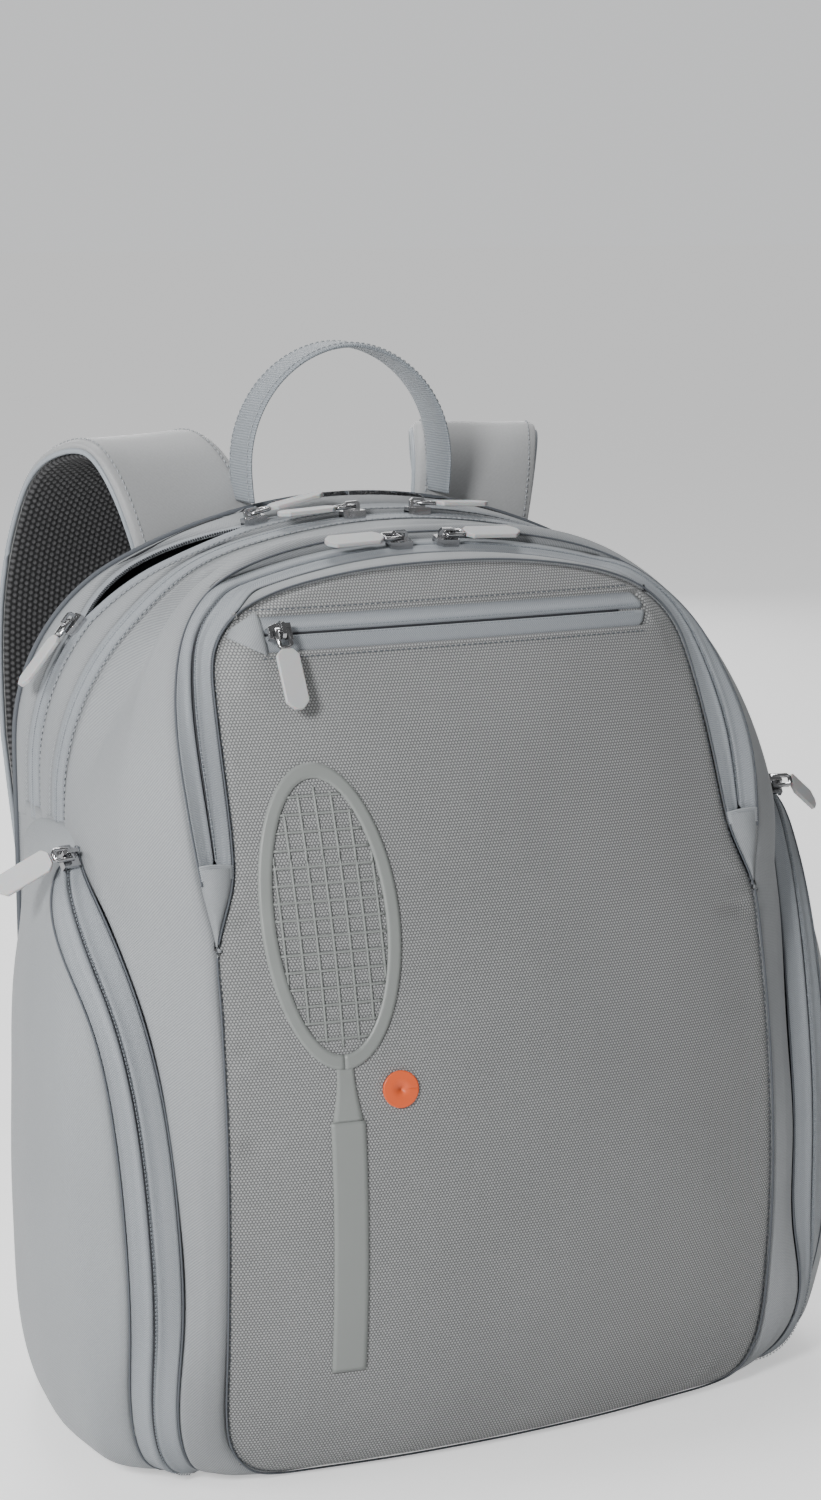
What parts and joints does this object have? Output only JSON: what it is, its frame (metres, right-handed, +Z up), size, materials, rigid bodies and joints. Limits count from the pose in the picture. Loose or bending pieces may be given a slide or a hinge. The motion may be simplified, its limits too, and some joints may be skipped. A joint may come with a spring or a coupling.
{
  "type": "racket backpack",
  "caption": "Padded racket backpack with a top-opening racket compartment, zipped main, front and side pockets, grab handle and shoulder straps.",
  "frame": {"origin": "on the resting face under the middle of the bag", "axes": "+X across the bag to the right seen from its front, +Y from the front panel to the wearer's back, +Z up"},
  "size_m": [0.4696, 0.322, 0.5464],
  "materials": {
    "shell_fabric": "woven polyester, satin",
    "panel_fabric": "woven polyester, satin",
    "lining_fabric": "plain woven lining, matte",
    "spacer_mesh": "knitted spacer mesh, matte",
    "strap_fabric": "smooth polyester, satin",
    "webbing": "woven webbing, satin",
    "zip_tape": "herringbone tape with nylon coil",
    "slider_metal": "bright plated",
    "pull_rubber": "soft translucent, satin",
    "buckle": "moulded, matte",
    "board": "plain sheet",
    "emblem": "raised print, satin",
    "accent": "raised print, satin"
  },
  "bodies": {
    "bag": {"main_shell": "shell_fabric", "racket_shell": "shell_fabric", "back_panel": "spacer_mesh", "back_pad_left": "spacer_mesh", "back_pad_right": "spacer_mesh", "racket_divider": "lining_fabric", "main_divider": "lining_fabric", "base_board": "board", "laptop_sleeve": "lining_fabric", "front_pocket_lining": "lining_fabric", "front_gusset": "shell_fabric", "front_panel": "panel_fabric", "racket_zip_chain": "zip_tape", "main_zip_chain": "zip_tape", "front_zip_chain": "zip_tape", "front_pocket_zip_chain": "zip_tape", "side_zip_chain_left": "zip_tape", "side_zip_chain_right": "zip_tape", "side_pocket_left": "shell_fabric", "side_pocket_right": "shell_fabric", "strap_foam_left": "strap_fabric", "strap_mesh_left": "spacer_mesh", "strap_webbing_left": "webbing", "strap_foam_right": "strap_fabric", "strap_mesh_right": "spacer_mesh", "strap_webbing_right": "webbing", "strap_adjuster_left": "buckle", "strap_adjuster_right": "buckle", "raised_emblem": "emblem", "emblem_ball": "accent"},
    "racket_left_slider": {"racket_left_slider": "slider_metal"},
    "racket_left_pull": {"racket_left_ring": "slider_metal", "racket_left_pull": "pull_rubber"},
    "racket_right_slider": {"racket_right_slider": "slider_metal"},
    "racket_right_pull": {"racket_right_ring": "slider_metal", "racket_right_pull": "pull_rubber"},
    "main_left_slider": {"main_left_slider": "slider_metal"},
    "main_left_pull": {"main_left_ring": "slider_metal", "main_left_pull": "pull_rubber"},
    "main_right_slider": {"main_right_slider": "slider_metal"},
    "main_right_pull": {"main_right_ring": "slider_metal", "main_right_pull": "pull_rubber"},
    "front_left_slider": {"front_left_slider": "slider_metal"},
    "front_left_pull": {"front_left_ring": "slider_metal", "front_left_pull": "pull_rubber"},
    "front_right_slider": {"front_right_slider": "slider_metal"},
    "front_right_pull": {"front_right_ring": "slider_metal", "front_right_pull": "pull_rubber"},
    "front_pocket_slider": {"front_pocket_slider": "slider_metal"},
    "front_pocket_pull": {"front_pocket_ring": "slider_metal", "front_pocket_pull": "pull_rubber"},
    "side_left_slider": {"side_left_slider": "slider_metal", "side_left_ring": "slider_metal"},
    "side_left_pull": {"side_left_pull": "pull_rubber"},
    "side_right_slider": {"side_right_slider": "slider_metal", "side_right_ring": "slider_metal"},
    "side_right_pull": {"side_right_pull": "pull_rubber"},
    "handle": {"grab_handle": "webbing"}
  },
  "joints": [
    {"name": "racket_left_travel", "type": "hinge", "parent": "bag", "child": "racket_left_slider", "pos_m": [-0.07788, 0.076, 0.33589], "axis": [0, 1, 0], "range_deg": [-22, 24]},
    {"name": "racket_right_travel", "type": "hinge", "parent": "bag", "child": "racket_right_slider", "pos_m": [0, 0.076, 0.13992], "axis": [0, 1, 0], "range_deg": [-8, 28]},
    {"name": "main_left_travel", "type": "hinge", "parent": "bag", "child": "main_left_slider", "pos_m": [0, 0.054, 0.1139], "axis": [0, 1, 0], "range_deg": [-13.5, 0]},
    {"name": "main_right_travel", "type": "hinge", "parent": "bag", "child": "main_right_slider", "pos_m": [0, 0.054, 0.1139], "axis": [0, 1, 0], "range_deg": [0, 13.5]},
    {"name": "front_left_travel", "type": "hinge", "parent": "bag", "child": "front_left_slider", "pos_m": [0, -0.13595, 0.11767], "axis": [0, 0.9143, -0.4051], "range_deg": [-15, 0]},
    {"name": "front_right_travel", "type": "hinge", "parent": "bag", "child": "front_right_slider", "pos_m": [0, -0.13595, 0.11767], "axis": [0, 0.9143, -0.4051], "range_deg": [0, 15]},
    {"name": "front_pocket_travel", "type": "slide", "parent": "bag", "child": "front_pocket_slider", "axis": [1, 0, 0], "range_m": [0, 0.198]},
    {"name": "side_left_travel", "type": "hinge", "parent": "bag", "child": "side_left_slider", "pos_m": [-0.2459, 0.1902, 0.12], "axis": [0.9753, 0.2207, 0], "range_deg": [0, 56]},
    {"name": "side_right_travel", "type": "hinge", "parent": "bag", "child": "side_right_slider", "pos_m": [0.2459, 0.1902, 0.12], "axis": [0.9753, -0.2207, 0], "range_deg": [0, 56]},
    {"name": "racket_left_pull_swing", "type": "hinge", "parent": "racket_left_slider", "child": "racket_left_pull", "pos_m": [-0.16722, 0.076, 0.41085], "axis": [0, 1, 0], "range_deg": [0, 90]},
    {"name": "racket_right_pull_swing", "type": "hinge", "parent": "racket_right_slider", "child": "racket_right_pull", "pos_m": [-0.06585, 0.076, 0.46073], "axis": [0, -1, 0], "range_deg": [0, 90]},
    {"name": "main_left_pull_swing", "type": "hinge", "parent": "main_left_slider", "child": "main_left_pull", "pos_m": [-0.01895, 0.054, 0.46389], "axis": [0, 1, 0], "range_deg": [0, 90]},
    {"name": "main_right_pull_swing", "type": "hinge", "parent": "main_right_slider", "child": "main_right_pull", "pos_m": [0.01895, 0.054, 0.46389], "axis": [0, -1, 0], "range_deg": [0, 90]},
    {"name": "front_left_pull_swing", "type": "hinge", "parent": "front_left_slider", "child": "front_left_pull", "pos_m": [-0.01337, 0.008, 0.45283], "axis": [-0.0236, 0.9606, 0.2769], "range_deg": [0, 90]},
    {"name": "front_right_pull_swing", "type": "hinge", "parent": "front_right_slider", "child": "front_right_pull", "pos_m": [0.01337, 0.008, 0.45283], "axis": [-0.0236, -0.9606, -0.2769], "range_deg": [0, 90]},
    {"name": "front_pocket_pull_swing", "type": "hinge", "parent": "front_pocket_slider", "child": "front_pocket_pull", "pos_m": [-0.099, -0.03965, 0.41618], "axis": [-1, 0, 0], "range_deg": [0, 90]},
    {"name": "side_left_pull_swing", "type": "hinge", "parent": "side_left_slider", "child": "side_left_pull", "pos_m": [-0.20891, -0.01498, 0.31085], "axis": [-0.1491, 0.6589, 0.7373], "range_deg": [0, 90]},
    {"name": "side_right_pull_swing", "type": "hinge", "parent": "side_right_slider", "child": "side_right_pull", "pos_m": [0.20891, -0.01498, 0.31085], "axis": [-0.1491, -0.6589, -0.7373], "range_deg": [0, 90]},
    {"name": "handle_fold", "type": "hinge", "parent": "bag", "child": "handle", "pos_m": [0, 0.108, 0.4636], "axis": [1, 0, 0], "range_deg": [-8, 35]}
  ]
}
